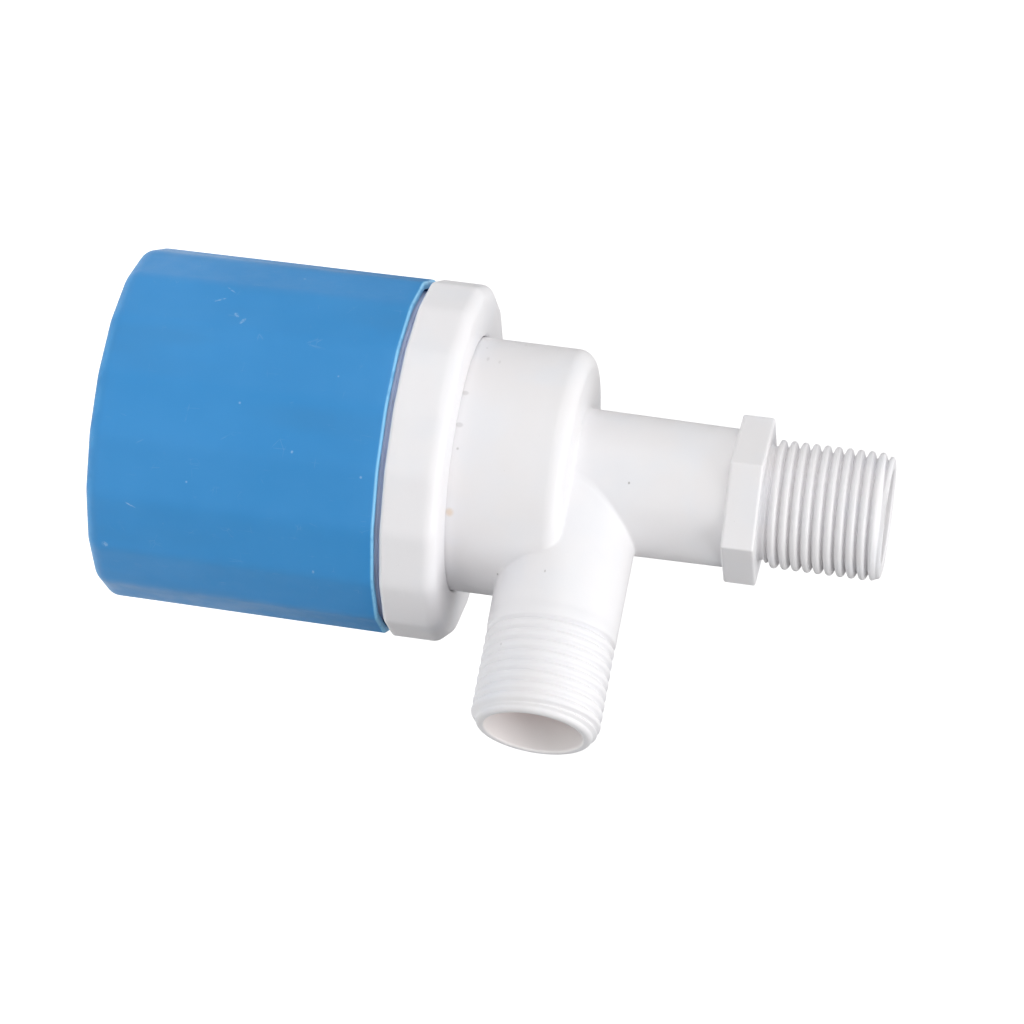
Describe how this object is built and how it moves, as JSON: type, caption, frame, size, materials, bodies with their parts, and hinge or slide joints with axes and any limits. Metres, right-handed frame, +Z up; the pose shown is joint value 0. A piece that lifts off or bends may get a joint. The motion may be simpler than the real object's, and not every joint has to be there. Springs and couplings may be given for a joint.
{
  "type": "float valve",
  "caption": "Float valve for a water tank: faceted float cup under a faceted clamp collar, round piston chamber, hexagon inlet with male pipe thread, threaded side outlet.",
  "frame": {"origin": "middle of the hexagon's upper face, on the inlet axis, where the valve seats against a washer or tank wall", "axes": "+Z up along the inlet axis towards the inlet thread, with the float cup below; +X along the side outlet, whose axis is 30.45 mm below the origin; +Y completes the right-handed frame"},
  "size_m": [0.0748, 0.0584, 0.1268],
  "materials": {
    "body_white": "satin injection-moulded nylon",
    "collar_white": "satin injection-moulded nylon",
    "housing_white": "matt moulded nylon",
    "cup_blue": "satin moulded polypropylene",
    "core_foam": "closed-cell foam",
    "inner_plastic": "moulded acetal",
    "seal_rubber": "matt",
    "steel": "stainless",
    "brass": "turned"
  },
  "bodies": {
    "valve": {"valve_body": "body_white", "clamp_collar": "collar_white", "guide_housing": "housing_white", "guide_bush": "inner_plastic", "body_gasket": "seal_rubber", "pilot_cover": "inner_plastic", "pilot_nozzle": "brass", "lever_pin": "steel", "inlet_strainer": "inner_plastic", "return_spring": "steel"},
    "float": {"float_cup": "cup_blue", "float_core": "core_foam", "float_lid": "inner_plastic", "float_stem": "steel", "stem_pin": "steel", "stem_washers": "steel", "stem_nuts": "steel"},
    "lever": {"pilot_lever": "inner_plastic", "pilot_pad": "seal_rubber"},
    "main_piston": {"piston": "inner_plastic", "piston_seal": "seal_rubber", "seat_washer": "seal_rubber", "seat_screw": "steel", "seat_nut": "steel"}
  },
  "joints": [
    {"name": "float_slide", "type": "slide", "parent": "valve", "child": "float", "axis": [0, 0, 1], "range_m": [-0.008, 0]},
    {"name": "lever_tilt", "type": "hinge", "parent": "valve", "child": "lever", "pos_m": [0.018, 0, -0.06645], "axis": [0, 1, 0], "range_deg": [-25.1, 0]},
    {"name": "piston_slide", "type": "slide", "parent": "valve", "child": "main_piston", "axis": [0, 0, 1], "range_m": [-0.004, 0], "stiffness_N_per_m": 250, "springref_m": 0.004, "deforming": ["return_spring"]}
  ],
  "couplings": [
    {"joint": "lever_tilt", "follows": "float_slide", "rad_per_m": 54.67}
  ]
}
